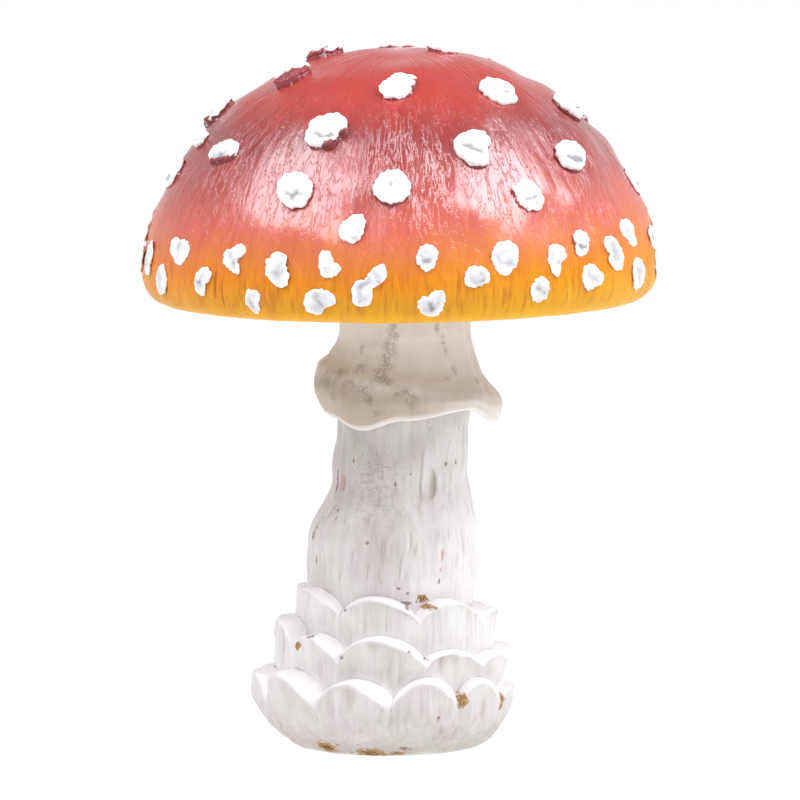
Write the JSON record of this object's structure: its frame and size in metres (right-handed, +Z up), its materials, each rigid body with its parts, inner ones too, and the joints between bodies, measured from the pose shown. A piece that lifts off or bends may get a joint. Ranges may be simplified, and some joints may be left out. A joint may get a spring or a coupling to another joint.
{
  "type": "ornament",
  "caption": "toadstool ornament: domed glossy cap with raised white warts, gill disc, drooping skirt, leaning stem and a bulb foot with overlapping scalloped scale tiers",
  "frame": {"origin": "middle of the foot's flat underside, on the surface the ornament stands on", "axes": "+Z up through the stem to the cap, -Y the front that the picture shows, +X to the picture's right"},
  "size_m": [0.1121, 0.1122, 0.1513],
  "materials": {
    "cap_gloss": "cast resin, hand painted rose red at the crown to orange and ochre at the rim, brushed relief, gloss varnish",
    "wart_paint": "thick white paint, satin",
    "stem_resin": "cast resin, off-white paint with grey-lilac streaks and terracotta strokes, satin",
    "skirt_resin": "cast resin, warm beige paint with brown strokes and a white lip, satin",
    "scale_resin": "cast resin, grey-beige scale faces with bright white lips and ochre spots, satin",
    "gill_resin": "cast resin, cream paint, satin",
    "dowel_steel": "plain drawn steel rod"
  },
  "bodies": {
    "root": {"bulb_foot": "scale_resin", "scale_ring_middle": "scale_resin", "scale_ring_top": "scale_resin", "stem": "stem_resin", "skirt_collar": "skirt_resin", "gill_disc": "gill_resin", "cap": "cap_gloss", "cap_dowel": "dowel_steel", "wart_01": "wart_paint", "wart_02": "wart_paint", "wart_03": "wart_paint", "wart_04": "wart_paint", "wart_05": "wart_paint", "wart_06": "wart_paint", "wart_07": "wart_paint", "wart_08": "wart_paint", "wart_09": "wart_paint", "wart_10": "wart_paint", "wart_11": "wart_paint", "wart_12": "wart_paint", "wart_13": "wart_paint", "wart_14": "wart_paint", "wart_15": "wart_paint", "wart_16": "wart_paint", "wart_17": "wart_paint", "wart_18": "wart_paint", "wart_19": "wart_paint", "wart_20": "wart_paint", "wart_21": "wart_paint", "wart_22": "wart_paint", "wart_23": "wart_paint", "wart_24": "wart_paint", "wart_25": "wart_paint", "wart_26": "wart_paint", "wart_27": "wart_paint", "wart_28": "wart_paint", "wart_29": "wart_paint", "wart_30": "wart_paint", "wart_31": "wart_paint", "wart_32": "wart_paint", "wart_33": "wart_paint", "wart_34": "wart_paint", "wart_35": "wart_paint", "wart_36": "wart_paint", "wart_37": "wart_paint", "wart_38": "wart_paint", "wart_39": "wart_paint", "wart_40": "wart_paint", "wart_41": "wart_paint", "wart_42": "wart_paint", "wart_43": "wart_paint", "wart_44": "wart_paint", "wart_45": "wart_paint", "wart_46": "wart_paint", "wart_47": "wart_paint", "wart_48": "wart_paint", "wart_49": "wart_paint", "wart_50": "wart_paint", "wart_51": "wart_paint", "wart_52": "wart_paint"}
  },
  "joints": []
}
